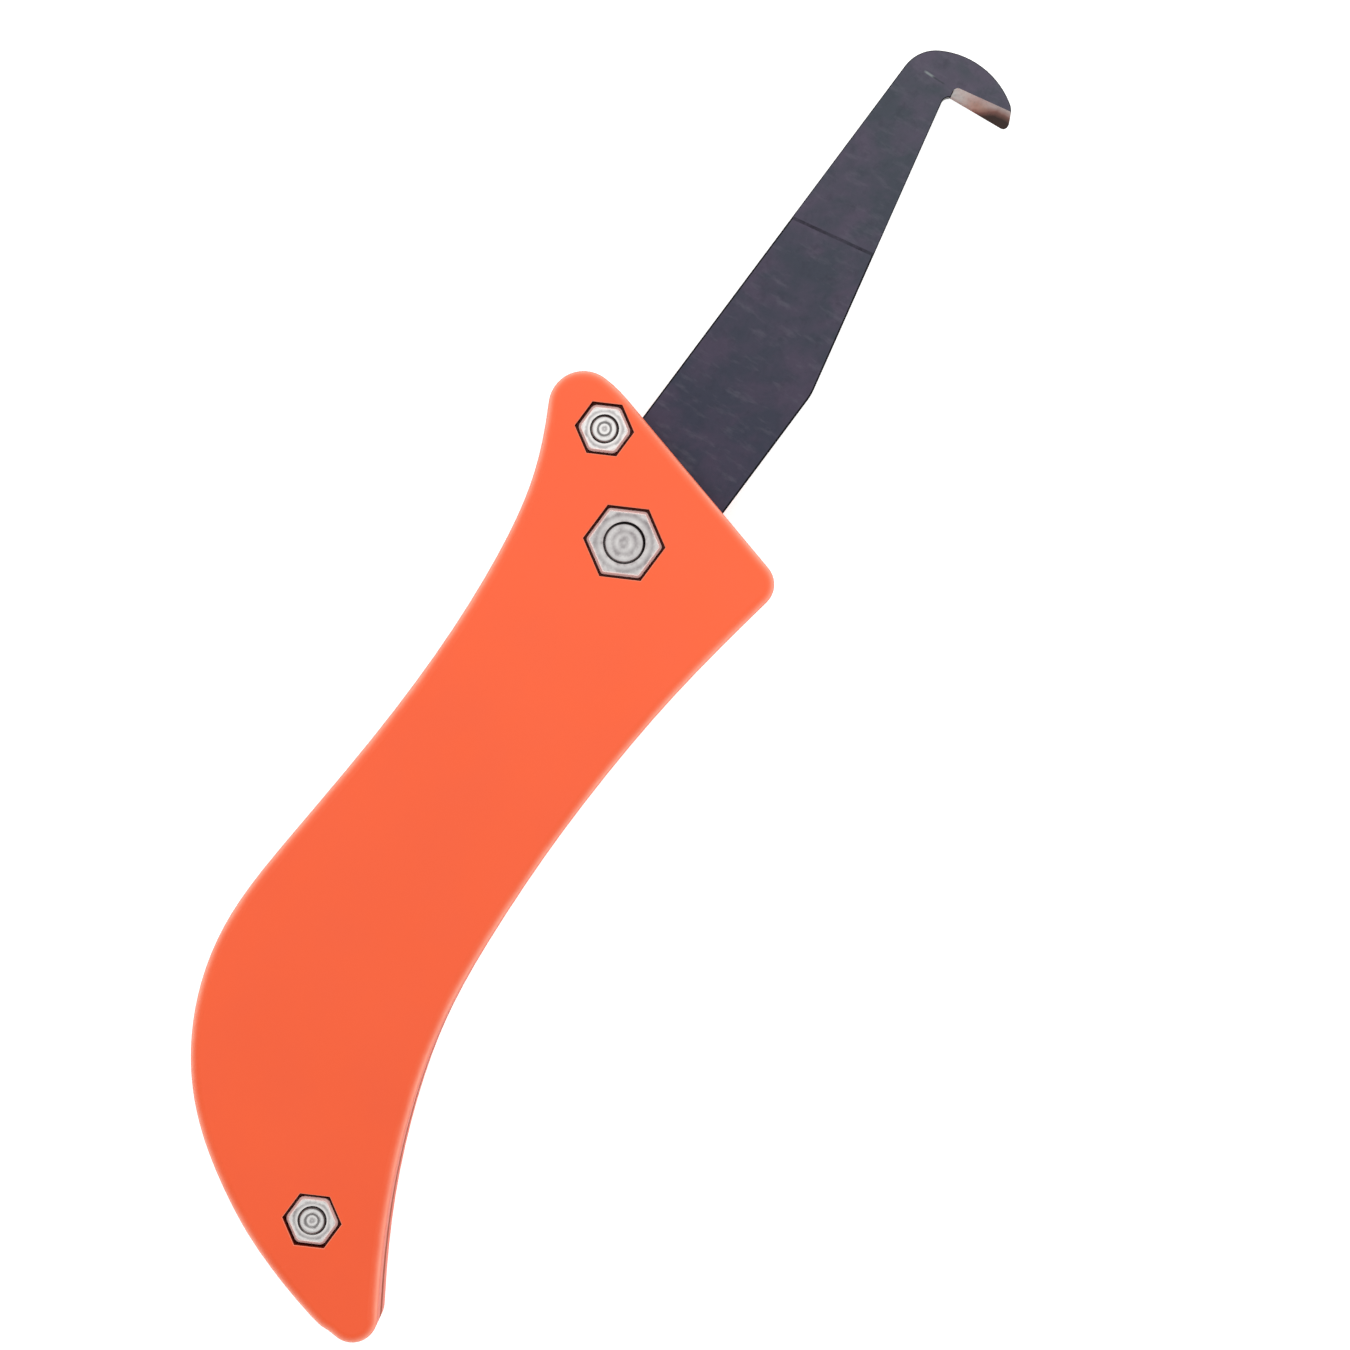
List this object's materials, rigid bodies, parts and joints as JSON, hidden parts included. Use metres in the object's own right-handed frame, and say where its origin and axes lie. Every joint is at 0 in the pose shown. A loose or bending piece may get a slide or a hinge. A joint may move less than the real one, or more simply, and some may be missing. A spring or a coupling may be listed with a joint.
{
  "type": "deburring tool",
  "caption": "Folding hook-blade scraper: two flat curved moulded scales bolted round a blackened steel blade that ends in a short square hook with a ground edge.",
  "frame": {"origin": "centre of the open tool's bounding box, on the outer face of the rear scale, which it lies on", "axes": "+X from the tail of the handle to the hook, +Y to the convex back of the handle, +Z out of the face that shows the nuts"},
  "size_m": [0.2156, 0.057, 0.0175],
  "materials": {
    "grip_plastic": "satin moulded orange plastic",
    "spacer_plastic": "dark moulded nylon",
    "blackened_steel": "blue-black oxide with a bare ground bevel",
    "bearing_bronze": "plain bearing bronze",
    "plain_steel": "turned steel",
    "zinc_steel": "dull zinc plate"
  },
  "bodies": {
    "handle": {"front_scale": "grip_plastic", "rear_scale": "grip_plastic", "back_spacer": "spacer_plastic", "pivot_washer_front": "bearing_bronze", "pivot_washer_rear": "bearing_bronze", "pivot_bush": "plain_steel", "stop_sleeve": "plain_steel", "pivot_bolt": "zinc_steel", "pivot_nut": "zinc_steel", "pivot_head_washer": "zinc_steel", "stop_bolt": "zinc_steel", "stop_nut": "zinc_steel", "stop_head_washer": "zinc_steel", "tail_bolt": "zinc_steel", "tail_nut": "zinc_steel", "tail_head_washer": "zinc_steel"},
    "blade": {"hook_blade": "blackened_steel"}
  },
  "joints": [
    {"name": "blade_fold", "type": "hinge", "parent": "handle", "child": "blade", "pos_m": [0.01886, -0.00216, 0.00875], "axis": [0, 0, 1], "range_deg": [-169, 0]}
  ]
}
